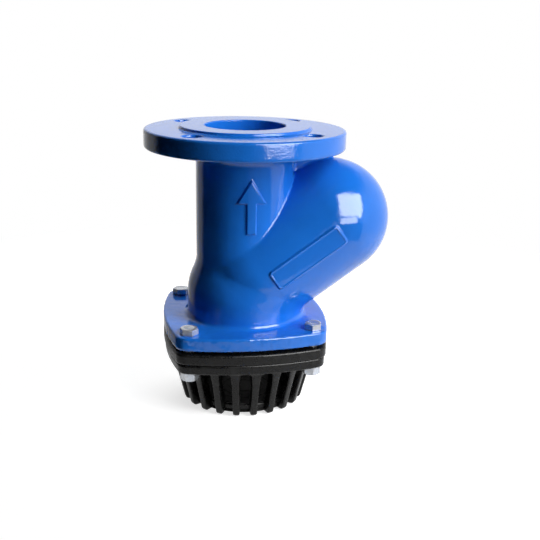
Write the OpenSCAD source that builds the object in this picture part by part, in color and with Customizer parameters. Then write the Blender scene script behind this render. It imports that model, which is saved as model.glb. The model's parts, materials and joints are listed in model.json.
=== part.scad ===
// Ball-type foot valve for the lower end of a pump's suction pipe.
// The origin is the centre of the outlet flange's raised face. +Z runs out of the
// outlet along the pipe axis, and +X points to the side pocket that the ball rolls into.

/* [Outlet flange] */
// Outside diameter of the outlet flange
flange_d = 200; // [190:1:230]
// Thickness of the outlet flange below its raised face
flange_t = 18.5; // [12:0.5:24]
// Radius of the rounded rim of the outlet flange
flange_rim_r = 2.5; // [1:0.5:4]
// Diameter of the raised sealing face
face_d = 130; // [110:1:138]
// Height of the raised sealing face
face_h = 3; // [1:0.5:5]
// Diameter of the outlet bore
bore_d = 80; // [60:1:90]
// Diameter of the pipe bolt circle
bolt_circle_d = 160; // [155:1:170]
// Diameter of the pipe bolt holes
bolt_hole_d = 19; // [14:0.5:22]
// Number of pipe bolt holes
bolt_hole_count = 4; // [4, 8]

/* [Body casting] */
// Length from the outlet face to the underside of the base flange
body_h = 207.5; // [195:0.5:240]
// Wall of the neck around the outlet bore
neck_wall = 9; // [6:0.5:12]
// Wall of the ball chamber and of the side pocket
chamber_wall = 8; // [6:0.5:12]
// Gap between the ball and the chamber wall
chamber_gap = 5.5; // [4:0.5:8]
// Height of the ball chamber's centre above the underside of the base flange
chamber_h = 35.5; // [28:0.5:40]
// Fillet between the neck and the outlet flange
neck_fillet_r = 16; // [6:0.5:18]
// Fillet between the chamber and the base flange
base_fillet_r = 5; // [3:0.5:10]
// Slope of the side pocket above the horizontal
pocket_angle = 35.5; // [33:0.5:38]
// Height above the underside of the base flange where the pocket axis meets the pipe axis
pocket_cross_h = 49.8; // [46:0.1:55]
// Distance along the pocket axis from the pipe axis to the centre of the domed end
pocket_reach = 109.3; // [104:0.1:125]
// Distance along the pocket axis from the pipe axis to the centre of its rounded inner end
pocket_start = 18; // [12:0.5:24]
// Thickness of the web that fills the gap between the neck, the pocket and the outlet flange
web_t = 8; // [5:0.5:14]

/* [Base flange] */
// Spacing of the four clamp bolts, the same both ways
clamp_spacing = 123; // [116:0.5:140]
// Radius of the flange corners, centred on the clamp bolts
corner_r = 14; // [11:0.5:18]
// How far each side bows out between its corners
side_bow = 8; // [4:0.5:12]
// Thickness of the base flange
base_t = 13.5; // [9:0.5:16]
// Diameter of the clamp bolt holes
clamp_hole_d = 11; // [10.5:0.1:13]

/* [Gasket and seat plate] */
// Outside diameter of the rubber gasket
gasket_d = 150; // [130:1:154]
// Thickness of the rubber gasket
gasket_t = 3.5; // [2:0.5:6]
// Thickness of the seat plate
plate_t = 11; // [8:0.5:14]
// Height of the seat plate's spigot above the plate
spigot_h = 5.5; // [4:0.5:8]
// Gap between the spigot and the bore of the body
spigot_gap = 0.8; // [0.3:0.1:1.5]
// Diameter of the seat bore
seat_bore_d = 60; // [50:1:62]
// Height of the conical seat face
seat_h = 6; // [4:0.5:8]
// Slope of the conical seat face above the horizontal
seat_angle = 43; // [41:0.5:44]

/* [Ball] */
// Diameter of the rubber-covered ball
ball_d = 94; // [92:0.5:100]
// Thickness of the rubber cover
rubber_t = 4; // [2:0.5:8]
// Gap between the closed ball and its seat
seat_gap = 0.3; // [0.2:0.1:0.6]
// Slope of the ball's way into the pocket above the horizontal
travel_angle = 45; // [44:0.5:47]
// Gap between the open ball and the pocket wall
stop_gap = 1; // [0.5:0.1:2]
// Extra room round the ball on its way into the pocket
travel_gap = 1.2; // [0.6:0.1:2]

/* [Strainer] */
// How far the strainer flange stands in from the edge of the seat plate
strainer_inset = 1.5; // [0:0.5:3]
// Thickness of the strainer flange
strainer_flange_t = 10.5; // [8:0.5:16]
// Height of the basket below its flange, feet included
basket_h = 54.5; // [44:0.5:70]
// Gap between the ribs and the clamp nuts, which sets the basket's width under its flange
nut_room = 0.8; // [0.3:0.1:4]
// Basket diameter at the feet, over the ribs
basket_foot_d = 126; // [116:1:136]
// Number of ribs
rib_count = 22; // [16:1:24]
// Turn of the first rib from the front of the valve
rib_phase = 2.8; // [-8:0.1:8]
// Width of a rib under the flange, between the arches of its slots
rib_top_w = 9; // [6:0.5:12]
// Width of a rib at its waist, where its taper eases
rib_waist_w = 6.8; // [4:0.2:10]
// How far the waist of a rib lies below the flange
rib_waist_drop = 12; // [8:0.5:20]
// Width of a rib at its foot
rib_foot_w = 6.2; // [4:0.2:10]
// Depth of a rib, measured towards the pipe axis
rib_depth = 11; // [8:0.5:15]
// Radius of the fillets that arch the top of each slot, as far as the slot is wide enough
slot_arch_r = 5; // [2:0.5:6]
// Radius of the rounded foot of a rib
foot_r = 4; // [2:0.5:5]
// How far the feet stand below the bottom dish
foot_h = 2; // [1:0.5:8]
// How far the bottom dish reaches into the feet of the ribs
dish_bite = 5; // [3:0.5:6]
// Height of the rim of the bottom dish
dish_h = 9; // [6:0.5:14]
// Wall of the bottom dish
dish_wall = 4; // [2:0.5:6]

/* [Clamp bolts] */
// Diameter of the clamp bolt
bolt_d = 10; // [8:0.5:10]
// Width across the flats of the bolt head and of the nut
hex_af = 16; // [13:0.5:18]
// Height of the bolt head
head_h = 6.4; // [5:0.1:8]
// Height of the nut
nut_h = 9.4; // [6:0.1:12]
// How far the bolt end stands out of the nut
bolt_tip = 0.8; // [0:0.1:6]
// Gap between the bolt and the nut's bore
thread_gap = 0.05; // [0.02:0.01:0.1]

/* [Hidden] */
$fn = 96;

// Overlap that joins or clears faces which would otherwise only touch
eps = 0.5;

// Radii
bore_r = bore_d / 2;
neck_r = bore_r + neck_wall;
ball_r = ball_d / 2;
chamber_r = ball_r + chamber_gap;
shell_r = chamber_r + chamber_wall;
seat_bore_r = seat_bore_d / 2;
hex_corner_r = hex_af / 2 / cos(30);
basket_top_r = clamp_spacing / sqrt(2) - hex_corner_r - nut_room;
basket_foot_r = basket_foot_d / 2;
dish_r = basket_foot_r - rib_depth + dish_bite;

// The flares of neighbouring ribs stay apart on the inner side of the basket
flare_gap = 0.4;
slot_half_w = (basket_top_r - rib_depth) * sin(180 / rib_count) - rib_top_w / 2;
arch_r = min(slot_arch_r, slot_half_w - flare_gap / 2);

// Levels, all below the outlet face
flange_under_z = -face_h - flange_t;
base_z = -body_h;
base_top_z = base_z + base_t;
chamber_z = base_z + chamber_h;
pocket_z = base_z + pocket_cross_h;
plate_top_z = base_z - gasket_t;
plate_z = plate_top_z - plate_t;
basket_top_z = plate_z - strainer_flange_t;
foot_z = basket_top_z - basket_h;
dish_z = foot_z + foot_h;

// The closed ball rests on the seat cone, lifted off it by the seat gap
seat_foot_z = plate_top_z + spigot_h - seat_h;
seat_touch_r = ball_r * sin(seat_angle);
seat_touch_z = seat_foot_z + (seat_touch_r - seat_bore_r) * tan(seat_angle);
ball_z = seat_touch_z + ball_r * cos(seat_angle) + seat_gap / cos(seat_angle);

// The open ball stops short of the pocket's upper wall
travel = (chamber_r - ball_r - stop_gap + (pocket_z - ball_z) * cos(pocket_angle))
         / sin(travel_angle - pocket_angle);
echo(ball_centre_z = ball_z, ball_travel = travel, foot_level_z = foot_z);

// Half of the right-hand side of an outline, as a half-plane to cut profiles with
module right_half(size) {
    translate([0, -size]) square([size, 2 * size]);
}

// Disc profile with its outer corners rounded, standing on the X axis
module rounded_disc_profile(r, h, edge_r) {
    square([r - edge_r, h]);
    translate([0, edge_r]) square([r, h - 2 * edge_r]);
    for (z = [edge_r, h - edge_r])
        translate([r - edge_r, z]) circle(edge_r);
}

// Concave fillet profile in the corner right of a wall and below or above a face
module fillet_profile(r, up = 1) {
    mirror([0, up > 0 ? 0 : 1]) difference() {
        translate([-eps, -eps]) square([r + eps, r + eps]);
        translate([r, r]) circle(r);
    }
}

// Bar along +Z from a flat or rounded foot to the centre of its domed end
module domed_bar(r, length, round_foot = false) {
    rotate_extrude() {
        square([r, length]);
        intersection() {
            for (z = round_foot ? [0, length] : [length])
                translate([0, z]) circle(r);
            right_half(length + 2 * r);
        }
    }
}

// Square with bowed sides and round corners centred on the clamp bolts
module bowed_square(corner) {
    half = clamp_spacing / 2;
    bow_offset = (2 * half * half - pow(half + side_bow, 2)) / (2 * side_bow);
    bow_r = bow_offset + half + corner + side_bow;
    corner_turn = atan2(half, half + bow_offset);
    corner_sum = bow_r * (cos(corner_turn) + sin(corner_turn)) - bow_offset;
    intersection() {
        shared_by_sides(bow_offset, bow_r);
        rotate(45) square(corner_sum * sqrt(2), center = true);
    }
    at_clamp_bolts() circle(corner);
}

// The area shared by four large discs, one for each bowed side
module shared_by_sides(offset_x, r) {
    intersection_for(turn = [0 : 90 : 270])
        rotate(turn) translate([-offset_x, 0]) circle(r);
}

// Copies its children to the four clamp bolts
module at_clamp_bolts() {
    for (x = [-1, 1], y = [-1, 1])
        translate([x, y] * clamp_spacing / 2) children();
}

// Plate of the bowed outline with its clamp bolt holes
module clamp_plate(z, thickness, corner) {
    translate([0, 0, z]) difference() {
        linear_extrude(thickness) bowed_square(corner);
        at_clamp_bolts() translate([0, 0, -eps])
            cylinder(d = clamp_hole_d, h = thickness + 2 * eps);
    }
}

// Round-ended bar along the axis of the side pocket
module pocket_bar(r) {
    translate([0, 0, pocket_z]) rotate([0, 90 - pocket_angle, 0])
        translate([0, 0, pocket_start])
            domed_bar(r, pocket_reach - pocket_start, round_foot = true);
}

// Web in the middle plane, from the neck to above the centre of the pocket's domed end
module pocket_web() {
    start_x = bore_r + neck_wall / 2;
    end_x = min(pocket_reach * cos(pocket_angle), flange_d / 2 - flange_rim_r);
    dome_z = pocket_z + pocket_reach * sin(pocket_angle);
    translate([start_x, -web_t / 2, dome_z])
        cube([end_x - start_x, web_t, flange_under_z - dome_z + eps]);
}

// Outside of the casting that turns about the pipe axis
module body_profile() {
    translate([0, flange_under_z]) rounded_disc_profile(flange_d / 2, flange_t, flange_rim_r);
    translate([0, -face_h - eps]) square([face_d / 2, face_h + eps]);
    translate([0, chamber_z]) square([neck_r, flange_under_z - chamber_z + eps]);
    translate([neck_r, flange_under_z]) fillet_profile(neck_fillet_r, up = -1);
    intersection() {
        translate([0, chamber_z]) circle(shell_r);
        translate([0, chamber_z]) square([shell_r, shell_r]);
    }
    translate([0, base_z]) square([shell_r, chamber_z - base_z]);
    translate([shell_r, base_top_z]) fillet_profile(base_fillet_r);
}

// Everything that is hollow inside the casting
module body_cavity() {
    translate([0, 0, chamber_z]) cylinder(r = bore_r, h = eps - chamber_z);
    translate([0, 0, base_z - eps]) domed_bar(chamber_r, chamber_z - base_z + eps);
    pocket_bar(chamber_r);
    translate([0, 0, ball_z]) rotate([0, 90 - travel_angle, 0])
        domed_bar(ball_r + travel_gap, travel, round_foot = true);
}

module valve_body() {
    color("royalblue") difference() {
        union() {
            rotate_extrude() body_profile();
            pocket_bar(shell_r);
            pocket_web();
            clamp_plate(base_z, base_t, corner_r);
        }
        body_cavity();
        for (i = [0 : bolt_hole_count - 1])
            rotate((i + 0.5) * 360 / bolt_hole_count)
                translate([bolt_circle_d / 2, 0, flange_under_z - neck_fillet_r])
                    cylinder(d = bolt_hole_d, h = flange_t + neck_fillet_r + eps);
    }
}

module body_gasket() {
    color("dimgray") translate([0, 0, plate_top_z]) difference() {
        cylinder(d = gasket_d, h = gasket_t);
        translate([0, 0, -eps]) cylinder(r = chamber_r, h = gasket_t + 2 * eps);
    }
}

module seat_plate() {
    mouth_r = seat_bore_r + seat_h / tan(seat_angle);
    color("black") difference() {
        union() {
            clamp_plate(plate_z, plate_t, corner_r);
            translate([0, 0, plate_top_z - eps])
                cylinder(r = chamber_r - spigot_gap, h = spigot_h + eps);
        }
        translate([0, 0, plate_z - eps])
            cylinder(r = seat_bore_r, h = plate_t + spigot_h + 2 * eps);
        translate([0, 0, seat_foot_z])
            cylinder(r1 = seat_bore_r, r2 = mouth_r, h = seat_h);
    }
}

module ball_core() {
    color("silver") translate([0, 0, ball_z]) sphere(ball_r - rubber_t);
}

module ball_coating() {
    color("darkslategray") translate([0, 0, ball_z]) difference() {
        sphere(ball_r);
        sphere(ball_r - rubber_t);
    }
}

// Bolted flange of the strainer, with an opening as wide as the inside of the ribs
module strainer_flange() {
    color("black") difference() {
        clamp_plate(basket_top_z, strainer_flange_t, corner_r - strainer_inset);
        translate([0, 0, basket_top_z - eps])
            cylinder(r = basket_top_r - rib_depth, h = strainer_flange_t + 2 * eps);
    }
}

// Side view of one rib, from the underside of the flange down to its rounded foot
module rib_side() {
    lean = atan2(basket_top_r - basket_foot_r, basket_h);
    // Centre of the arc that rounds the foot, touching the ground and the sloping outer edge
    centre = [basket_foot_r - foot_r * tan((90 - lean) / 2), foot_z + foot_r];
    steps = 6;
    polygon([
        [basket_foot_r - rib_depth, foot_z],
        for (i = [0 : steps])
            let (turn = i * (90 - lean) / steps - 90)
                centre + foot_r * [cos(turn), sin(turn)],
        [basket_top_r, basket_top_z],
        [basket_top_r - rib_depth, basket_top_z],
    ]);
}

// Front view of one rib, flared at the top into the arches of the slots beside it
module rib_front() {
    polygon([
        [-rib_foot_w / 2, foot_z - eps],
        [rib_foot_w / 2, foot_z - eps],
        [rib_waist_w / 2, basket_top_z - rib_waist_drop],
        [rib_top_w / 2, basket_top_z - arch_r],
        [rib_top_w / 2, basket_top_z + eps],
        [-rib_top_w / 2, basket_top_z + eps],
        [-rib_top_w / 2, basket_top_z - arch_r],
        [-rib_waist_w / 2, basket_top_z - rib_waist_drop],
    ]);
    for (side = [0, 1])
        mirror([side, 0]) translate([rib_top_w / 2, basket_top_z])
            fillet_profile(arch_r, up = -1);
}

// Outside of the bottom dish, which the ribs are notched for
module dish_outside() {
    translate([0, 0, dish_z]) cylinder(r = dish_r, h = dish_h);
}

// Ribs spaced evenly round the basket, from the flange to the feet
module strainer_ribs() {
    rib_reach = basket_top_r + eps;
    color("black") for (i = [0 : rib_count - 1])
        rotate(rib_phase - 90 + i * 360 / rib_count) difference() {
            intersection() {
                rotate([90, 0, 0]) linear_extrude(3 * rib_top_w, center = true) rib_side();
                rotate([90, 0, 90]) linear_extrude(rib_reach) rib_front();
            }
            dish_outside();
        }
}

// Round floor of the bottom dish, which closes the basket
module strainer_floor() {
    color("black") translate([0, 0, dish_z]) cylinder(r = dish_r, h = dish_wall);
}

// Hoop round the floor of the bottom dish, which ties the ribs together
module strainer_hoop() {
    color("black") translate([0, 0, dish_z + dish_wall]) difference() {
        cylinder(r = dish_r, h = dish_h - dish_wall);
        translate([0, 0, -eps]) cylinder(r = dish_r - dish_wall, h = dish_h);
    }
}

// Hexagon with one end chamfered to a circle, standing on the XY plane
module chamfered_hex(h) {
    chamfer_h = h / 5;
    intersection() {
        cylinder(r = hex_corner_r, h = h, $fn = 6);
        union() {
            cylinder(d = 2 * hex_af, h = h - chamfer_h);
            translate([0, 0, h - chamfer_h])
                cylinder(d1 = hex_af + 2 * chamfer_h * tan(60), d2 = hex_af, h = chamfer_h);
        }
    }
}

module flange_bolts() {
    tip_z = basket_top_z - nut_h - bolt_tip;
    color("lightgray") at_clamp_bolts() {
        translate([0, 0, base_top_z]) chamfered_hex(head_h);
        translate([0, 0, tip_z]) cylinder(d = bolt_d, h = base_top_z - tip_z + eps);
    }
}

module flange_nuts() {
    color("lightgray") at_clamp_bolts() translate([0, 0, basket_top_z]) difference() {
        mirror([0, 0, 1]) chamfered_hex(nut_h);
        translate([0, 0, -nut_h - eps])
            cylinder(d = bolt_d + 2 * thread_gap, h = nut_h + 2 * eps);
    }
}

valve_body();
body_gasket();
seat_plate();
ball_core();
ball_coating();
strainer_flange();
strainer_ribs();
strainer_floor();
strainer_hoop();
flange_bolts();
flange_nuts();
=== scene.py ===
# Ball foot valve for a pump's suction pipe, drawn over its CAD frame in metres.

import json
import math

import bmesh
import bpy
import numpy as np
from mathutils import Matrix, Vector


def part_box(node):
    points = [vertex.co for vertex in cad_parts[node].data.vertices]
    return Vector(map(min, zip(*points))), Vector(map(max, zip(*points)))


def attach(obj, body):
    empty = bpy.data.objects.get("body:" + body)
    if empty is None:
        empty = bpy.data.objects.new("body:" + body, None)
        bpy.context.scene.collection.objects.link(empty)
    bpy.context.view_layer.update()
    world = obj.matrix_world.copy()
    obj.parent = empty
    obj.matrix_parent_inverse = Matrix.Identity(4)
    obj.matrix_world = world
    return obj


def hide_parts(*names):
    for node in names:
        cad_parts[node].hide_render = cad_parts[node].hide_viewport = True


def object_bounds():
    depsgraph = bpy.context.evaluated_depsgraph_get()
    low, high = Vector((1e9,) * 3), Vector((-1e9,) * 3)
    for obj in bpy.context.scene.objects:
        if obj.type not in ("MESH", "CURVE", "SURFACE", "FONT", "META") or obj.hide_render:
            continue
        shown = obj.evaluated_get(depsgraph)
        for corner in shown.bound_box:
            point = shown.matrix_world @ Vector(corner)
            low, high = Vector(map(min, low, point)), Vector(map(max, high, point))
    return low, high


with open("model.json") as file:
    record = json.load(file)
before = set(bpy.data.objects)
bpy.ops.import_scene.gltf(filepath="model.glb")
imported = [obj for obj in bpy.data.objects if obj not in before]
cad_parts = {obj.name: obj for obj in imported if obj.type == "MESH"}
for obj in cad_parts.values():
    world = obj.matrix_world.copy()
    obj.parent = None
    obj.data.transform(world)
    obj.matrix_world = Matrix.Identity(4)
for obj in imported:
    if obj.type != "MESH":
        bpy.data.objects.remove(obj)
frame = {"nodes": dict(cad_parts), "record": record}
cad_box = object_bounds()


# Body casting
# Outlet flange, neck, ball chamber, slanted ball pocket and base flange are one iron casting,
# covered with glossy blue enamel. The CAD solid is meshed evenly and its points are settled on
# the same forms with the mould's soft fillets, a cast flow arrow and a blank cast panel.

mm = 0.001


def levels(node):
    """Heights of a CAD node's lowest and highest points, in millimetres."""
    low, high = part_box(node)
    return low[2] / mm, high[2] / mm


flange_r, flange_low, flange_top = 100, -21.5, -3
face_r, face_low = 65, -16
neck_r, chamber_r, pocket_r = 49, 60, 60.5
bore_r, inside_r, ball_way_r = 40, 52.5, 48.2
chamber_top, chamber_end = np.array([0, 0, -172]), np.array([0, 0, -260])
chamber_shift = np.array([1.6, 0, 0])
pocket_slope = math.radians(35.5)
pocket_run = np.array([math.cos(pocket_slope), 0, math.sin(pocket_slope)])
pocket_rise = np.array([-pocket_run[2], 0, pocket_run[0]])
pocket_cross = np.array([0, 0, -157.7])
pocket_start, pocket_end = pocket_cross + 18 * pocket_run, pocket_cross + 109.3 * pocket_run
web_half, web_low, web_start = 4, -94, 20
base_low = levels("valve_body")[0]
base_top = base_low + 13.5
base_corner_r, base_bow = 14, 8
pipe_hole_at, pipe_hole_r, pipe_hole_low = 56.57, 9.5, -40
clamp_at, clamp_hole_r, clamp_hole_top = 61.5, 5.5, -180
ball_centre = np.array([0, 0, sum(levels("ball_coating")) / 2])
ball_joint = frame["record"]["behaviour"]["joints"][0]
ball_run = np.array(ball_joint["axis"]) * ball_joint["range_m"][1] / mm
neck_fillet_r, base_fillet_r, web_fillet_r = 16, 5, 3
crease_levels, crease_radii = (-166, -142), (5, 1.4)
arrow_low, arrow_tip, arrow_half = -99, -46, 14
panel_along, panel_across = 66, -2
panel_half_l, panel_half_w, panel_corner_r = 37, 7, 4
marks_y, mark_margin = -20, 4


def fused(a, b, r):
    """Joins two forms, given by their distances, with a fillet of radius r in the corner."""
    return np.maximum(r, np.minimum(a, b)) - np.hypot(np.maximum(r - a, 0), np.maximum(r - b, 0))


def trimmed(a, b, r):
    """Keeps what two forms share, with the edge between them rounded to radius r."""
    return -fused(-a, -b, r)


def slab(z, low, high):
    """Distance of heights to the space between two levels."""
    return np.maximum(z - high, low - z)


def bar(p, start, end, r):
    """Distance of points to a bar of radius r with round ends."""
    run = end - start
    share = np.clip((p - start) @ run / (run @ run), 0, 1)
    return np.linalg.norm(p - start - share[:, None] * run, axis=1) - r


def bowed_square(p, corner_r):
    """Distance to the sides of the clamped outline: bowed, with corners round the clamp bolts."""
    offset = (2 * clamp_at ** 2 - (clamp_at + base_bow) ** 2) / (2 * base_bow)
    side_r = offset + clamp_at + base_bow + corner_r
    wide = np.maximum(abs(p[:, 0]), abs(p[:, 1]))
    narrow = np.minimum(abs(p[:, 0]), abs(p[:, 1]))
    corner = np.hypot(wide - clamp_at, narrow - clamp_at) - corner_r
    side = np.hypot(wide + offset, narrow) - side_r
    return np.where(narrow * (clamp_at + offset) > clamp_at * (wide + offset), corner, side)


def clamp_holes(p):
    """Distance to the holes for the four clamp bolts."""
    return np.hypot(abs(p[:, 0]) - clamp_at, abs(p[:, 1]) - clamp_at) - clamp_hole_r


def raised(outline, height):
    """Height of a cast mark whose soft edge follows an outline's distance."""
    edge_out, edge_w = 0.9, 2.0
    share = np.clip((edge_out - outline) / edge_w, 0, 1)
    return height * share ** 2 * (3 - 2 * share)


def flow_arrow(p):
    """Raised arrow on the front of the neck that points along the flow."""
    x, y, z = p.T
    shaft_half, shaft_high, head_low = 4.5, -67, -69
    head_h = arrow_tip - head_low
    across = abs(np.arctan2(x, -y)) * neck_r
    shaft = np.maximum(across - shaft_half, slab(z, arrow_low, shaft_high))
    slant = (across * head_h + (z - arrow_tip) * arrow_half) / math.hypot(head_h, arrow_half)
    return raised(fused(shaft, np.maximum(slant, head_low - z), 1.5), 2.2)


def on_pocket(p):
    """Places of points along the ball pocket, and above its axis."""
    return (p - pocket_cross) @ pocket_run, (p - pocket_cross) @ pocket_rise


def blank_panel(p):
    """Raised panel with a rim along the front of the ball pocket."""
    along, above = on_pocket(p)
    across = np.arctan2(above, -p[:, 1]) * pocket_r
    past_end = np.maximum(abs(along - panel_along) - panel_half_l, 0)
    past_side = np.maximum(abs(across - panel_across) - panel_half_w, 0)
    out = np.hypot(past_end, past_side) - panel_corner_r
    return raised(out, 1.2) + raised(abs(out + 1.6) - 0.6, 0.9)


def casting(p):
    """Distance of points in millimetres to the surface of the body casting."""
    x, y, z = p.T
    axis_r = np.hypot(x, y)
    front = y < marks_y
    flange = trimmed(axis_r - flange_r, slab(z, flange_low, flange_top), 2.5)
    face = trimmed(axis_r - face_r, slab(z, face_low, 0), 0.9)
    neck = np.maximum(axis_r - neck_r, slab(z, chamber_top[2], flange_low))
    neck -= np.where(front, flow_arrow(p), 0)
    chamber = bar(p, chamber_top + chamber_shift, chamber_end + chamber_shift, chamber_r)
    pocket = bar(p, pocket_start, pocket_end, pocket_r)
    pocket -= np.where(front, blank_panel(p), 0)
    base = trimmed(bowed_square(p, base_corner_r), slab(z, base_low, base_top), 1.6)
    web = trimmed(abs(y) - web_half, x - pocket_end[0], 2)
    web = np.maximum(np.maximum(web, slab(z, web_low, face_low)), web_start - x)
    crease_r = np.interp(z, crease_levels, crease_radii)
    outside = fused(fused(neck, chamber, 4), pocket, crease_r)
    outside = fused(outside, fused(flange, face, 0.9), neck_fillet_r)
    outside = fused(outside, web, web_fillet_r)
    outside = fused(outside, base, base_fillet_r)
    bore = np.maximum(axis_r - bore_r, chamber_top[2] - z)
    inside = fused(bore, bar(p, chamber_top, chamber_end, inside_r), 2)
    inside = fused(inside, bar(p, pocket_start, pocket_end, inside_r), 2)
    inside = np.minimum(inside, bar(p, ball_centre, ball_centre + ball_run, ball_way_r))
    pipe_holes = np.hypot(abs(x) - pipe_hole_at, abs(y) - pipe_hole_at) - pipe_hole_r
    pipe_holes = np.maximum(pipe_holes, pipe_hole_low - z)
    base_holes = np.maximum(clamp_holes(p), z - clamp_hole_top)
    solid = trimmed(outside, base_low - z, 0.6)
    for hollow, edge_r in ((inside, 1.0), (pipe_holes, 1.0), (base_holes, 0.6)):
        solid = trimmed(solid, -hollow, edge_r)
    return solid


def cast_marks(p):
    """Where the casting needs a finer mesh: round its arrow and its panel."""
    x, y, z = p.T
    arrow = (abs(x) < arrow_half + 3) & (slab(z, arrow_low - 6, arrow_tip + 7) < 0)
    arrow &= abs(np.hypot(x, y) - neck_r) < mark_margin
    along, above = on_pocket(p)
    margin = panel_corner_r + mark_margin
    panel = abs(bar(p, pocket_start, pocket_end, pocket_r)) < mark_margin
    panel &= abs(along - panel_along) < panel_half_l + margin
    panel &= abs(above - panel_across) < panel_half_w + margin
    return (arrow | panel) & (y < marks_y)


def edited(mesh, change):
    """Makes a change to a mesh through its editable form."""
    edit = bmesh.new()
    edit.from_mesh(mesh)
    change(edit)
    edit.to_mesh(mesh)
    edit.free()


def welded(edit):
    """Joins the points of a mesh that lie on each other."""
    bmesh.ops.remove_doubles(edit, verts=edit.verts, dist=0.002 * mm)


def plain_mesh(made):
    """Mesh of an object with its modifiers applied. The object itself is removed."""
    graph = bpy.context.evaluated_depsgraph_get()
    mesh = bpy.data.meshes.new_from_object(made.evaluated_get(graph))
    source = made.data
    bpy.data.objects.remove(made)
    bpy.data.meshes.remove(source)
    return mesh


def even_mesh(node, face_w):
    """Mesh of a CAD node, made anew of even faces of this width in millimetres."""
    copy = frame["nodes"][node].data.copy()
    copy.materials.clear()
    edited(copy, welded)
    rough = bpy.data.objects.new("rough", copy)
    bpy.context.scene.collection.objects.link(rough)
    rough.modifiers.new("even", "REMESH").voxel_size = face_w * mm
    return plain_mesh(rough)


def divided(zone):
    """Change that divides the edges of a mesh inside a zone in three."""
    def divide(edit):
        wanted = zone(np.array([v.co for v in edit.verts]) / mm)
        edges = [e for e in edit.edges if wanted[e.verts[0].index] and wanted[e.verts[1].index]]
        bmesh.ops.subdivide_edges(edit, edges=edges, cuts=2, use_grid_fill=True)
    return divide


def gap_and_slope(form, p):
    """Distance of points to a form's surface, and the direction away from it."""
    reach = 0.03
    steps = np.array([(1, -1, -1), (-1, -1, 1), (-1, 1, -1), (1, 1, 1)], float)
    values = [form(p + reach * step) for step in steps]
    slope = sum(value[:, None] * step for value, step in zip(values, steps)) / (4 * reach)
    return sum(values) / 4, slope


def settle(mesh, form):
    """Moves the points of an even mesh onto a form with rounded edges, which also gives its normals."""
    turns, evening_turns, longest_step = 9, (2, 4, 6), 1.5
    points = np.empty(len(mesh.vertices) * 3, np.float32)
    mesh.vertices.foreach_get("co", points)
    points = points.reshape(-1, 3).astype(float) / mm
    ends = np.empty(len(mesh.edges) * 2, np.int32)
    mesh.edges.foreach_get("vertices", ends)
    ends = ends.reshape(-1, 2)
    count = np.bincount(ends.ravel(), minlength=len(points))[:, None]
    for turn in range(turns):
        if turn in evening_turns:
            near = np.zeros_like(points)
            np.add.at(near, ends[:, 0], points[ends[:, 1]])
            np.add.at(near, ends[:, 1], points[ends[:, 0]])
            points = (points + near / count) / 2
        gap, slope = gap_and_slope(form, points)
        steep = np.maximum((slope ** 2).sum(1), 0.3)
        points -= (np.clip(gap, -longest_step, longest_step) / steep)[:, None] * slope
    slope = gap_and_slope(form, points)[1]
    slope /= np.maximum(np.linalg.norm(slope, axis=1), 1e-6)[:, None]
    mesh.vertices.foreach_set("co", (points * mm).astype(np.float32).ravel())
    mesh.update()
    mesh.shade_smooth()
    mesh.normals_split_custom_set_from_vertices(slope.tolist())


def piece(name, mesh, body, slot, *nodes):
    """Adds a finished mesh to the scene as a piece that stands for CAD nodes."""
    made = bpy.data.objects.new(name, mesh)
    bpy.context.scene.collection.objects.link(made)
    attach(made, body)
    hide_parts(*nodes)


class Wire:
    """A socket in a node tree. Sums and products of wires add Math nodes."""

    def __init__(self, tree, socket=None):
        self.tree = tree
        self.socket = socket

    def node(self, kind, settings=None, inputs=None, output=0):
        """Adds a node, its settings first and then its socket values and links."""
        made = self.tree.nodes.new(kind)
        for name, value in (settings or {}).items():
            setattr(made, name, value)
        for name, value in (inputs or {}).items():
            if isinstance(value, Wire):
                self.tree.links.new(value.socket, made.inputs[name])
            else:
                made.inputs[name].default_value = value
        return Wire(self.tree, made.outputs[output])

    def math(self, operation, *values):
        """Adds a Math node with these values."""
        return self.node("ShaderNodeMath", {"operation": operation}, dict(enumerate(values)))

    def __add__(self, other):
        return self.math("ADD", self, other)

    __radd__ = __add__

    def __sub__(self, other):
        return self.math("SUBTRACT", self, other)

    def __rsub__(self, other):
        return self.math("SUBTRACT", other, self)

    def __mul__(self, other):
        return self.math("MULTIPLY", self, other)

    __rmul__ = __mul__

    def __truediv__(self, other):
        return self.math("DIVIDE", self, other)

    def __rtruediv__(self, other):
        return self.math("DIVIDE", other, self)

    def parts(self):
        """The three coordinates of a place."""
        outputs = self.node("ShaderNodeSeparateXYZ", None, {0: self}).socket.node.outputs
        return [Wire(self.tree, socket) for socket in outputs]

    def noise(self, scale, detail=2.0):
        """Noise about zero at this many waves to the metre."""
        sockets = {"Vector": self, "Scale": scale, "Detail": detail}
        return self.node("ShaderNodeTexNoise", None, sockets) - 0.5

    def ramp(self, low, high):
        """Zero below one level, one above the other, and smooth between them."""
        settings = {"interpolation_type": "SMOOTHSTEP"}
        return self.node("ShaderNodeMapRange", settings, {0: self, 1: low, 2: high})

    def colours(self, first, second):
        """Colour between two, by this share."""
        inputs = {0: self, 6: (*first, 1), 7: (*second, 1)}
        return self.node("ShaderNodeMix", {"data_type": "RGBA"}, inputs, 2)

    def bump(self):
        """Surface direction of a height in metres."""
        return self.node("ShaderNodeBump", None, {"Distance": 1, "Height": self}, "Normal")


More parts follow.
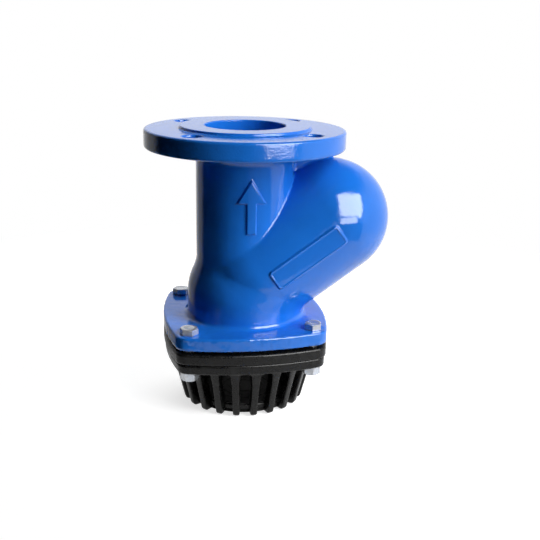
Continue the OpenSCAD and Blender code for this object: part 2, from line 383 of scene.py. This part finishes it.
class Finish:
    """A material with one shader, and the object coordinates that its patterns follow."""

    def __init__(self, name, **constants):
        self.material = bpy.data.materials.new(name)
        self.material.use_nodes = True
        self.tree = self.material.node_tree
        self.shader = self.tree.nodes["Principled BSDF"]
        self.at = Wire(self.tree).node("ShaderNodeTexCoord", output="Object")
        self.set(**constants)

    def set(self, **sockets):
        """Sets or links the shader's sockets, with underscores for spaces."""
        for name, value in sockets.items():
            socket = self.shader.inputs[name.replace("_", " ")]
            if isinstance(value, Wire):
                self.tree.links.new(value.socket, socket)
            else:
                socket.default_value = value

    def patches(self, scale, detail, low=0.3, high=0.7):
        """Soft patches between zero and one, at this many to the metre."""
        return (self.at.noise(scale, detail) + 0.5).ramp(low, high)


enamel = Finish("blue_enamel", IOR=1.5)
level = enamel.at.parts()[2]
on_rim = level.ramp(-0.023, -0.0195)
on_base = 1 - level.ramp(-0.196, -0.192)
broad_lumps = 0.0003 * enamel.at.noise(50, 1)
small_lumps = (0.0001 + 0.0006 * on_base) * enamel.at.noise(150, 1)
peel = 0.00005 * enamel.at.noise(430, 1) + 0.00012 * on_rim * enamel.at.noise(600, 1)
enamel.set(
    Base_Color=enamel.patches(30, 3).colours((0.010, 0.147, 0.60), (0.012, 0.162, 0.65)),
    Roughness=0.07 + 0.04 * enamel.at.noise(300, 2),
    Normal=((1 - on_rim) * (broad_lumps + small_lumps) + peel).bump(),
)
body_mesh = even_mesh("valve_body", 2.1)
edited(body_mesh, divided(cast_marks))
settle(body_mesh, casting)
body_mesh.materials.append(enamel.material)
piece("body_casting", body_mesh, "valve", "blue_enamel", "valve_body")


# Gasket
# A flat ring of black rubber, punched from sheet, that seals the base flange to the seat plate.
# Its outer edge bulges slightly from the clamping.

def closed(edit):
    """Joins the seams and poles of a mesh and turns its faces outwards."""
    welded(edit)
    bmesh.ops.recalc_face_normals(edit, faces=edit.faces)


def turned(name, outline, steps=128):
    """Turns a closed outline of radius and height, in millimetres, about the pipe axis."""
    count = len(outline)
    turns = np.arange(steps) * 2 * math.pi / steps
    points = [(r * math.cos(t) * mm, r * math.sin(t) * mm, z * mm) for t in turns for r, z in outline]
    faces = []
    for i in range(steps):
        here, beyond = i * count, (i + 1) % steps * count
        for k in range(count):
            following = (k + 1) % count
            faces.append((here + k, beyond + k, beyond + following, here + following))
    mesh = bpy.data.meshes.new(name)
    mesh.from_pydata(points, [], faces)
    edited(mesh, closed)
    mesh.shade_smooth()
    mesh.set_sharp_from_angle(angle=math.radians(50))
    return mesh


def arc(centre_x, centre_y, r, start, end, count):
    """Points of an arc between two angles in degrees."""
    angles = np.radians(np.linspace(start, end, count))
    return [(centre_x + r * math.cos(a), centre_y + r * math.sin(a)) for a in angles]


rubber = Finish("gasket_rubber", Specular_IOR_Level=0.35)
rubber.set(
    Base_Color=rubber.patches(180, 3).colours((0.016, 0.016, 0.017), (0.03, 0.03, 0.031)),
    Roughness=0.7 + 0.2 * rubber.at.noise(500, 2),
    Normal=(0.00004 * rubber.at.noise(900, 2)).bump(),
)
gasket_low, gasket_high = levels("body_gasket")
gasket_mid = (gasket_low + gasket_high) / 2
gasket_r, bulge_r, gasket_flat_r = 75, 1.4, 72.5
gasket_outline = arc(gasket_r - bulge_r, gasket_mid, bulge_r, -75, 75, 9)
gasket_outline += [(gasket_flat_r, gasket_high), (54, gasket_high), (53, gasket_high - 0.5)]
gasket_outline += [(52.6, gasket_mid)]
gasket_outline += [(53, gasket_low + 0.5), (54, gasket_low), (gasket_flat_r, gasket_low)]
gasket_mesh = turned("clamped_gasket", gasket_outline)
gasket_mesh.materials.append(rubber.material)
piece("clamped_gasket", gasket_mesh, "valve", "gasket_rubber", "body_gasket")


# Seat plate
# A black moulded plate of the same bowed outline. Its spigot stands in the casting's mouth and
# carries the conical seat that the ball closes. Its edges are rounded by the mould.

plate_low, spigot_top = levels("seat_plate")
plate_top = gasket_low
spigot_r, spigot_root = 51.7, plate_low + 3
seat_r, seat_slope = 30, math.radians(43)
seat_foot = spigot_top - 6


def seat_form(p):
    """Distance of points in millimetres to the surface of the seat plate."""
    x, y, z = p.T
    axis_r = np.hypot(x, y)
    plate = trimmed(bowed_square(p, base_corner_r), slab(z, plate_low, plate_top), 1.8)
    spigot = trimmed(axis_r - spigot_r, slab(z, spigot_root, spigot_top), 1.0)
    cone = (axis_r - seat_r) * math.sin(seat_slope) - (z - seat_foot) * math.cos(seat_slope)
    mouth = np.minimum(axis_r - seat_r, np.maximum(cone, seat_foot - z))
    solid = trimmed(fused(plate, spigot, 0.8), -mouth, 0.6)
    return trimmed(solid, -clamp_holes(p), 0.6)


plastic = Finish("black_plastic", Specular_IOR_Level=0.25)
scuffs = plastic.patches(120, 4, 0.45, 0.75)
plastic.set(
    Base_Color=scuffs.colours((0.005, 0.005, 0.005), (0.011, 0.011, 0.011)),
    Roughness=0.27 + 0.12 * scuffs + 0.1 * plastic.at.noise(700, 2),
    Normal=(0.000012 * plastic.at.noise(1100, 2) + 0.00006 * plastic.at.noise(45, 1)).bump(),
)
seat_mesh = even_mesh("seat_plate", 1.7)
settle(seat_mesh, seat_form)
seat_mesh.materials.append(plastic.material)
piece("moulded_seat_plate", seat_mesh, "valve", "black_plastic", "seat_plate")


# Ball
# A cast aluminium core with a thick skin of smooth black rubber moulded on it. The skin shows
# the line where the two halves of its mould met. It is loose, and rolls up into the pocket.

skin = Finish("ball_rubber", Specular_IOR_Level=0.35)
skin.set(
    Base_Color=skin.patches(90, 3).colours((0.006, 0.006, 0.007), (0.012, 0.012, 0.013)),
    Roughness=0.45 + 0.15 * skin.at.noise(260, 3),
    Normal=(0.00003 * skin.at.noise(600, 2)).bump(),
)
ball_z = ball_centre[2]
parting_r, ball_r, core_r = 47, 46.85, 43.02
upper = arc(0, ball_z, ball_r, 90, 1.6, 44)
parting = arc(0, ball_z, parting_r, 1, -1, 3)
lower = arc(0, ball_z, ball_r, -1.6, -90, 44)
hollow = arc(0, ball_z, core_r, -90, 90, 60)
ball_mesh = turned("ball_skin", upper + parting + lower + hollow, 96)
ball_mesh.materials.append(skin.material)
piece("ball_skin", ball_mesh, "ball", "ball_rubber", "ball_coating")

core_metal = Finish("ball_metal", Metallic=1.0)
core_metal.set(
    Base_Color=core_metal.patches(70, 3).colours((0.6, 0.61, 0.63), (0.74, 0.75, 0.77)),
    Roughness=0.42 + 0.2 * core_metal.at.noise(400, 3),
    Normal=(0.00005 * core_metal.at.noise(500, 3)).bump(),
)
core = frame["nodes"]["ball_core"]
core.data.materials.clear()
core.data.materials.append(core_metal.material)


# Strainer flange
# The basket's clamped rim, moulded in the same black plastic and a little smaller than the seat
# plate. It is open in the middle, with rounded outer edges.

rim_low, rim_high = levels("strainer_flange")
rim_corner_r, rim_mouth_r = 12.5, 65.94


def rim_form(p):
    """Distance of points in millimetres to the surface of the strainer's flange."""
    x, y, z = p.T
    plate = trimmed(bowed_square(p, rim_corner_r), slab(z, rim_low, rim_high), 2.2)
    mouth = np.hypot(x, y) - rim_mouth_r
    return trimmed(trimmed(plate, -mouth, 1.0), -clamp_holes(p), 0.6)


rim_mesh = even_mesh("strainer_flange", 1.7)
settle(rim_mesh, rim_form)
rim_mesh.materials.append(plastic.material)
piece("strainer_rim", rim_mesh, "valve", "black_plastic", "strainer_flange")


# Strainer ribs
# Twenty-two tapered ribs run down and inwards from the flange. Each flares at its top into the
# arches of its slots and ends in a rounded foot. One rib is lofted and set round the axis.

rib_count, first_rib_turn = 22, math.radians(2.8 - 90)
rib_h = rim_low - levels("strainer_ribs")[0]
rib_depth, rib_foot_r = 11, 63
rib_top_r = rim_mouth_r + rib_depth
slot_drop, arch_r, waist_drop = 2.6, 3.2, 17
top_half, waist_half, foot_half = 4.75, 3.6, 3.4
toe_r, foot_r = 4, 3
outer_edge_r, inner_edge_r = 1.2, 0.5


def lofted(name, rings):
    """Skins rows of points, in millimetres, and closes both ends."""
    count = len(rings[0])
    points = [(x * mm, y * mm, z * mm) for ring in rings for x, y, z in ring]
    faces = [tuple(range(count)), tuple(range((len(rings) - 1) * count, len(rings) * count))]
    for i in range(len(rings) - 1):
        for k in range(count):
            a, b = i * count + k, i * count + (k + 1) % count
            faces.append((a, b, b + count, a + count))
    mesh = bpy.data.meshes.new(name)
    mesh.from_pydata(points, [], faces)
    edited(mesh, closed)
    mesh.shade_smooth()
    return mesh


def set_back(r, rise):
    """How far an edge rounded to radius r stands back at a height over its end."""
    return r - math.sqrt(r ** 2 - max(r - rise, 0) ** 2)


def rib_ring(drop):
    """Outline of a rib at a depth below the flange: x outwards, y across."""
    rise = rib_h - drop
    outer = rib_top_r + (rib_foot_r - rib_top_r) * drop / rib_h
    inner = outer - rib_depth + set_back(foot_r, rise)
    outer -= set_back(toe_r, rise)
    half = np.interp(drop, [slot_drop + arch_r, waist_drop, rib_h], [top_half, waist_half, foot_half])
    half += set_back(arch_r, max(drop - slot_drop, 0)) - set_back(foot_r, rise)
    out_r, in_r = min(outer_edge_r, 0.9 * half), min(inner_edge_r, 0.9 * half)
    ring = arc(outer - out_r, half - out_r, out_r, 0, 90, 5)
    ring += arc(inner + in_r, half - in_r, in_r, 90, 180, 5)
    ring += arc(inner + in_r, in_r - half, in_r, 180, 270, 5)
    ring += arc(outer - out_r, out_r - half, out_r, 270, 360, 5)
    return [(x, y, rim_low - drop) for x, y in ring]


def node_group(name, **kinds):
    """Geometry node group with named inputs of these kinds, and the wires that start from them."""
    tree = bpy.data.node_groups.new(name, "GeometryNodeTree")
    tree.interface.new_socket("Geometry", in_out="OUTPUT", socket_type="NodeSocketGeometry")
    for label, kind in kinds.items():
        tree.interface.new_socket(label, in_out="INPUT", socket_type="NodeSocket" + kind)
    sockets = tree.nodes.new("NodeGroupInput").outputs
    return tree, {label: Wire(tree, sockets[label]) for label in kinds}


def set_copies(tree, given, spots, turn):
    """Ends a node group with copies of its piece at these spots, each turned about its axis."""
    wire = Wire(tree)
    shape = wire.node("GeometryNodeObjectInfo", None, {"Object": given["piece"]}, "Geometry")
    turn = wire.node("ShaderNodeCombineXYZ", None, {"Z": turn})
    turn = wire.node("FunctionNodeEulerToRotation", None, {0: turn})
    inputs = {"Points": spots, "Instance": shape, "Rotation": turn}
    copies = wire.node("GeometryNodeInstanceOnPoints", None, inputs)
    copies = wire.node("GeometryNodeRealizeInstances", None, {"Geometry": copies})
    copies = wire.node("GeometryNodeSetMaterial", None, {"Geometry": copies, "Material": given["material"]})
    tree.links.new(copies.socket, tree.nodes.new("NodeGroupOutput").inputs[0])


def pieces_round_axis():
    """Node group that sets copies of a piece evenly round the pipe axis."""
    tree, given = node_group("pieces_round_the_axis", piece="Object", count="Int", first_turn="Float",
                             material="Material")
    wire = Wire(tree)
    spots = wire.node("GeometryNodePoints", None, {"Count": given["count"]})
    index = wire.node("GeometryNodeInputIndex")
    set_copies(tree, given, spots, given["first_turn"] + index * (2 * math.pi) / given["count"])
    return tree


def grown(name, tree, one, **values):
    """Mesh that a node group makes from the mesh of one piece and its other inputs."""
    pattern = bpy.data.objects.new("pattern", one)
    holder = bpy.data.objects.new(name, bpy.data.meshes.new("empty"))
    for made in (pattern, holder):
        bpy.context.scene.collection.objects.link(made)
    values["piece"] = pattern
    nodes = holder.modifiers.new("nodes", "NODES")
    nodes.node_group = tree
    for item in tree.interface.items_tree:
        if item.in_out == "INPUT":
            nodes[item.identifier] = values[item.name]
    mesh = plain_mesh(holder)
    mesh.name = name
    bpy.data.objects.remove(pattern)
    bpy.data.meshes.remove(one)
    return mesh


arch_shares = (0, 0.03, 0.1, 0.2, 0.32, 0.48, 0.7, 1)
foot_rises = (4, 3.4, 2.7, 2, 1.4, 1, 0.6, 0.3, 0.1, 0)
drops = [0, *(slot_drop + arch_r * share for share in arch_shares)]
drops += [*np.linspace(8, rib_h - 6, 11), *(rib_h - rise for rise in foot_rises)]
one_rib = lofted("one_rib", [rib_ring(drop) for drop in drops])
ribs_mesh = grown("strainer_bars", pieces_round_axis(), one_rib, count=rib_count,
                  first_turn=first_rib_turn, material=plastic.material)
ribs_mesh.set_sharp_from_angle(angle=math.radians(50))
piece("strainer_bars", ribs_mesh, "valve", "black_plastic", "strainer_ribs")


# Strainer floor and hoop
# The bottom of the basket is a round floor with a low hoop round it that ties the ribs together.
# Both are turned. The floor is duller, with raised rings inside, and a groove and the hollow of
# the mould's gate underneath.

floor_low, floor_top = levels("strainer_floor")
ring_profile = ((-1.6, 0), (-1, 0), (-0.5, 0.4), (0.5, 0.4), (1, 0), (1.6, 0))
groove = ((24.6, 0), (24, 0), (23.4, 0.5), (21, 0.5), (20.4, 0), (19.8, 0))
gate = ((5.4, 0), (5, 0), (4.6, 0.6), (0, 0.6))
floor_outline = [(0, floor_top)]
for ring_r in (14, 22, 30, 43):
    floor_outline += [(ring_r + off, floor_top + rise) for off, rise in ring_profile]
floor_outline += [(55.6, floor_top), (56.4, floor_top), *arc(56, floor_low + 1, 1, 60, -90, 8)]
floor_outline += [(r, floor_low + rise) for r, rise in groove + gate]
floor_mesh = turned("strainer_floor_disc", floor_outline)
grained = Finish("grained_plastic", Specular_IOR_Level=0.08)
grained.set(
    Base_Color=grained.patches(160, 4, 0.4).colours((0.004, 0.004, 0.004), (0.009, 0.009, 0.009)),
    Roughness=0.62 + 0.2 * grained.at.noise(500, 3),
    Normal=(0.00003 * grained.at.noise(900, 2)).bump(),
)
floor_mesh.materials.append(grained.material)
piece("strainer_floor_disc", floor_mesh, "valve", "black_plastic", "strainer_floor")

hoop_low, hoop_top = levels("strainer_hoop")
hoop_in_r, hoop_out_r, hoop_edge_r = 53, 57, 1.2
hoop_outline = [(hoop_in_r, hoop_low)]
hoop_outline += arc(hoop_in_r + hoop_edge_r, hoop_top - hoop_edge_r, hoop_edge_r, 180, 90, 6)
hoop_outline += arc(hoop_out_r - hoop_edge_r, hoop_top - hoop_edge_r, hoop_edge_r, 90, 0, 6)
hoop_outline += [(hoop_out_r, hoop_low)]
hoop_mesh = turned("strainer_tie_hoop", hoop_outline)
hoop_mesh.materials.append(plastic.material)
piece("strainer_tie_hoop", hoop_mesh, "valve", "black_plastic", "strainer_hoop")


# Clamp bolts
# Four zinc-plated M10 hex bolts go down through the casting, the seat plate and the strainer.
# The heads have a chamfered top with a shallow round recess, and the shanks a rolled thread.

flat_half, chamfer_r, chamfer_slope = 8, 7.75, 0.58
thread_mid_r, thread_half, thread_pitch = 4.62, 0.36, 1.5


def hex_r(turn, flat):
    """Radius of a hexagon in a direction, for half its width across the flats."""
    off = (turn + math.pi / 6) % (math.pi / 3) - math.pi / 6
    return flat / math.cos(math.pi / 6 - abs(off))


def ring_points(rows, steps=48):
    """Points of rings about a bolt's axis, each given by a function of the direction."""
    turns = [k * 2 * math.pi / steps for k in range(steps)]
    return [[(r * math.cos(t), r * math.sin(t), z) for t in turns for r, z in (row(t),)] for row in rows]


def round_row(r, z):
    """A plain round ring."""
    return lambda turn: (r, z)


def hex_row(z, shrink=0.0):
    """A hexagon, drawn in a little where its edge is rounded."""
    return lambda turn: (hex_r(turn, flat_half - shrink), z)


def chamfer_row(z, steep, shrink=0.0):
    """End of a hexagon whose corners are cut back by a cone."""
    cut = steep * chamfer_slope
    return lambda turn: (hex_r(turn, flat_half - shrink), z + cut * (hex_r(turn, flat_half) - chamfer_r))


def thread_row(z):
    """One row of the rolled thread's helix."""
    lead = 2 * math.pi * z / thread_pitch
    return lambda turn: (thread_mid_r + thread_half * math.cos(lead - turn), z)


def pieces_at_bolts():
    """Node group that sets copies of a piece at the four clamp bolts, each turned further."""
    tree, given = node_group("pieces_at_clamp_bolts", piece="Object", spacing="Float", first_turn="Float",
                             next_turn="Float", material="Material")
    wire = Wire(tree)
    sizes = {"Size X": given["spacing"], "Size Y": given["spacing"], "Vertices X": 2, "Vertices Y": 2}
    spots = wire.node("GeometryNodeMeshGrid", None, sizes)
    index = wire.node("GeometryNodeInputIndex")
    set_copies(tree, given, spots, given["first_turn"] + index * given["next_turn"])
    return tree


zinc = Finish("zinc_steel", Metallic=0.65)
zinc.set(
    Base_Color=zinc.patches(260, 3, 0.35).colours((0.50, 0.51, 0.53), (0.58, 0.63, 0.70)),
    Roughness=0.24 + 0.12 * zinc.at.noise(800, 3),
    Normal=(0.00003 * zinc.at.noise(700, 3)).bump(),
)
bolt_low, head_top = levels("flange_bolts")
pole_r, recess_r, recess_edge_r, recess_top = 0.4, 4.2, 4.8, head_top - 0.2
head_face_r, edge_h, head_foot_h, shank_r = 7.3, 0.15, 0.4, 5.0
tip_r, tip_end_r, tip_h = 4.4, 3.8, 0.5
head_rows = [round_row(pole_r, recess_top), round_row(recess_r, recess_top),
             round_row(recess_edge_r, head_top), round_row(head_face_r, head_top),
             chamfer_row(head_top, -1, edge_h), chamfer_row(head_top - edge_h, -1),
             hex_row(base_top + head_foot_h), hex_row(base_top, head_foot_h), round_row(shank_r, base_top)]
thread_rows = [thread_row(z) for z in np.arange(base_top - 1, bolt_low + 0.9, -thread_pitch / 6)]
tip_rows = [round_row(tip_r, bolt_low + tip_h), round_row(tip_end_r, bolt_low), round_row(pole_r, bolt_low)]
one_bolt = lofted("one_bolt", ring_points(head_rows + thread_rows + tip_rows))
at_bolts = pieces_at_bolts()
clamp_spacing = 2 * clamp_at * mm
bolts_mesh = grown("hex_bolts", at_bolts, one_bolt, spacing=clamp_spacing, first_turn=math.radians(-17),
                   next_turn=math.radians(17), material=zinc.material)
bolts_mesh.set_sharp_from_angle(angle=math.radians(28))
piece("hex_bolts", bolts_mesh, "valve", "zinc_steel", "flange_bolts")


# Clamp nuts
# Four zinc-plated M10 hex nuts draw the stack together from below. Both ends of each nut are
# chamfered, and its bore opens in a countersink.

def bored(edit):
    """Opens both ends of a lofted piece and joins them by a bore."""
    ends = [f for f in edit.faces if len(f.verts) > 4]
    bmesh.ops.bridge_loops(edit, edges=[e for f in ends for e in f.edges])
    bmesh.ops.delete(edit, geom=ends, context="FACES_ONLY")
    bmesh.ops.recalc_face_normals(edit, faces=edit.faces)


nut_low, nut_top = levels("flange_nuts")
nut_bore_r, upper_sink_r, lower_sink_r, sink_h = 5.05, 5.6, 5.8, 0.6
upper_face_r, lower_face_r = 7.5, 7.3
nut_rows = [round_row(nut_bore_r, nut_top - sink_h), round_row(upper_sink_r, nut_top),
            round_row(upper_face_r, nut_top), chamfer_row(nut_top, -0.7, edge_h),
            chamfer_row(nut_top - edge_h, -0.7), chamfer_row(nut_low + edge_h, 1),
            chamfer_row(nut_low, 1, edge_h), round_row(lower_face_r, nut_low),
            round_row(lower_sink_r, nut_low), round_row(nut_bore_r, nut_low + sink_h)]
one_nut = lofted("one_nut", ring_points(nut_rows))
edited(one_nut, bored)
one_nut.shade_smooth()
nuts_mesh = grown("hex_nuts", at_bolts, one_nut, spacing=clamp_spacing, first_turn=math.radians(56),
                  next_turn=math.radians(17.5), material=zinc.material)
nuts_mesh.set_sharp_from_angle(angle=math.radians(28))
piece("hex_nuts", nuts_mesh, "valve", "zinc_steel", "flange_nuts")


# Studio
# A white floor, a window-like soft light on the right and a soft light behind. Dark screens round
# the front and the left and overhead, and a bright window, are what the enamel mirrors.

def card(name, corners):
    """Sheet of the studio through rows of corner points, in a dull dark paint."""
    rows, across = len(corners), len(corners[0])
    faces = [(i * across + k, i * across + k + 1, (i + 1) * across + k + 1, (i + 1) * across + k)
             for i in range(rows - 1) for k in range(across - 1)]
    mesh = bpy.data.meshes.new(name)
    mesh.from_pydata([point for row in corners for point in row], [], faces)
    made = bpy.data.objects.new(name, mesh)
    bpy.context.scene.collection.objects.link(made)
    paint = Finish(name, Base_Color=(0.004, 0.004, 0.005, 1), Roughness=0.9, Specular_IOR_Level=0)
    mesh.materials.append(paint.material)
    return made, paint


def show(paint, shader):
    """Gives a sheet another shader in place of its first."""
    paint.tree.links.new(shader.socket, paint.tree.nodes["Material Output"].inputs["Surface"])


def bearing(side, depth):
    """Direction from the valve in degrees: zero to the front, and growing to the right."""
    return side.math("ARCTAN2", side, 0 - depth) * (180 / math.pi)


def pale_left(turn):
    """How pale the studio's left side is, by its direction."""
    return 0.42 * (1 - turn.ramp(-128, -116)) + 0.58 * (1 - turn.ramp(-180, -135))


floor_z, floor_half = cad_box[0][2], 12
corners = [[(x, y, floor_z) for x in (-floor_half, floor_half)] for y in (-floor_half, floor_half)]
paint = card("floor", corners)[1]
side, depth, height = paint.at.parts()
away = side.math("SQRT", side * side + depth * depth)
turn = bearing(side, depth)
front = (1 - pale_left(turn)) * (1 - turn.ramp(0, 4))
front_right = turn.ramp(0, 4) * (1 - turn.ramp(53, 57))
paper_edge = 0.33 + 0.0012 * turn
dark = (away - paper_edge).ramp(-0.012, 0.012) * (front + 0.85 * front_right)
seen = paint.at.node("ShaderNodeLightPath", output="Is Camera Ray")
mirrored = paint.at.node("ShaderNodeLightPath", output="Is Glossy Ray")
paint.set(Base_Color=dark.colours((0.6, 0.6, 0.6), (0.004, 0.004, 0.004)))
glow = seen * (0.7 + 0.3 * dark) + mirrored * 0.5 * (1 - dark)
glow = paint.at.node("ShaderNodeEmission", None, {"Strength": glow})
paper = Wire(paint.tree, paint.shader.outputs[0])
paper = paint.at.node("ShaderNodeAddShader", None, {0: paper, 1: glow})
far = paint.at.node("ShaderNodeEmission", None, {"Strength": seen + mirrored * (1 - dark)})
show(paint, paint.at.node("ShaderNodeMixShader", None, {0: away.ramp(0.4, 0.75), 1: paper, 2: far}))

screen_r, screen_top, lid_half = 2.6, 3.0, 5
turns = np.radians(np.linspace(-175, 3, 24))
corners = [[(screen_r * math.sin(t), -screen_r * math.cos(t), z) for t in turns]
           for z in (floor_z, screen_top)]
wall, paint = card("front_screen", corners)
wall.visible_camera = False
side, depth, height = paint.at.parts()
mirrored = paint.at.node("ShaderNodeLightPath", output="Is Glossy Ray")
paint.set(Emission_Color=(1, 1, 1, 1), Emission_Strength=mirrored * pale_left(bearing(side, depth)))

corners = [[(x, y, screen_top) for x in (-screen_r, lid_half)] for y in (-screen_r, lid_half)]
lid, paint = card("lid_screen", corners)
lid.visible_camera = False
away = paint.at.node("ShaderNodeVectorMath", {"operation": "LENGTH"}, {0: paint.at}, "Value")
mirrored = paint.at.node("ShaderNodeLightPath", output="Is Glossy Ray")
paint.set(Emission_Color=(1, 1, 1, 1), Emission_Strength=mirrored * away.ramp(3.6, 6))


def facing(turn, rise, distance, roll=0, aim=(0.03, 0, -0.15), shift=0):
    """Place in a direction given in degrees, turned to look at a point, rolled and moved to its right."""
    turn, rise, roll = math.radians(turn), math.radians(rise), math.radians(roll)
    back = np.array([math.sin(turn) * math.cos(rise), -math.cos(turn) * math.cos(rise), math.sin(rise)])
    across = np.array([math.cos(turn), math.sin(turn), 0])
    right = across * math.cos(roll) + np.cross(back, across) * math.sin(roll)
    place = np.array(aim) + shift * right + distance * back
    columns = np.array([right, np.cross(back, right), back, place])
    return Matrix([*columns.T.tolist(), (0, 0, 0, 1)])


def soft_light(name, place, width, height, power):
    """Rectangular soft light that mirrors don't show."""
    light = bpy.data.lights.new(name, "AREA")
    light.shape = "RECTANGLE"
    light.size, light.size_y, light.energy = width, height, power
    made = bpy.data.objects.new(name, light)
    made.matrix_world = place
    made.visible_camera = made.visible_glossy = False
    bpy.context.scene.collection.objects.link(made)


def glare(name, place, half_w, half_h, strength):
    """Bright soft-edged sheet that only mirrors show."""
    made, paint = card(name, [[(x, y, 0) for x in (-half_w, half_w)] for y in (-half_h, half_h)])
    made.matrix_world = place
    made.visible_camera = made.visible_diffuse = made.visible_shadow = False
    across, upwards, out = paint.at.parts()
    across, upwards = across / half_w, upwards / half_h
    middle = (1 - (across * across).ramp(0.5, 1)) * (1 - (upwards * upwards).ramp(0.5, 1))
    show(paint, middle.node("ShaderNodeEmission", None, {"Strength": strength * middle}))


soft_light("window", facing(50, 27, 2.2), width=0.9, height=2.3, power=78)
soft_light("back_light", facing(170, 38, 2.0), width=1.6, height=1.6, power=36)
glare("window_glare", facing(35, 31, 2.21, roll=-14), half_w=1.05, half_h=0.95, strength=14)
glare("window_foot_glare", facing(27, 8.5, 0.75), half_w=0.24, half_h=0.085, strength=11)

room_light = 0.16
world = bpy.data.worlds.new("white_room")
bpy.context.scene.world = world
world.use_nodes = True
wire = Wire(world.node_tree)
rays = ("Is Camera Ray", "Is Glossy Ray", "Is Transmission Ray")
by_camera, by_mirrors, by_glass = [wire.node("ShaderNodeLightPath", output=ray) for ray in rays]
seen = wire.math("MINIMUM", by_camera + by_mirrors + by_glass, 1.0)
backdrop = world.node_tree.nodes["Background"].inputs
backdrop["Color"].default_value = (1, 1, 1, 1)
world.node_tree.links.new((room_light + (1 - room_light) * seen).socket, backdrop["Strength"])


# Camera
# Stands a little left of the front and looks down on the valve, as far off as the photograph's
# perspective shows.

photo_w_px, focal_px = 540, 823.47
camera = bpy.data.objects.new("camera", bpy.data.cameras.new("camera"))
camera.data.sensor_width = 36
camera.data.lens = camera.data.sensor_width * focal_px / photo_w_px
camera.matrix_world = facing(turn=-9.807, rise=17.222, distance=0.8569, roll=1.151,
                             aim=(0, 0, -0.150079), shift=0.027309)
bpy.context.scene.collection.objects.link(camera)
bpy.context.scene.camera = camera
bpy.context.scene.view_settings.view_transform = "Standard"
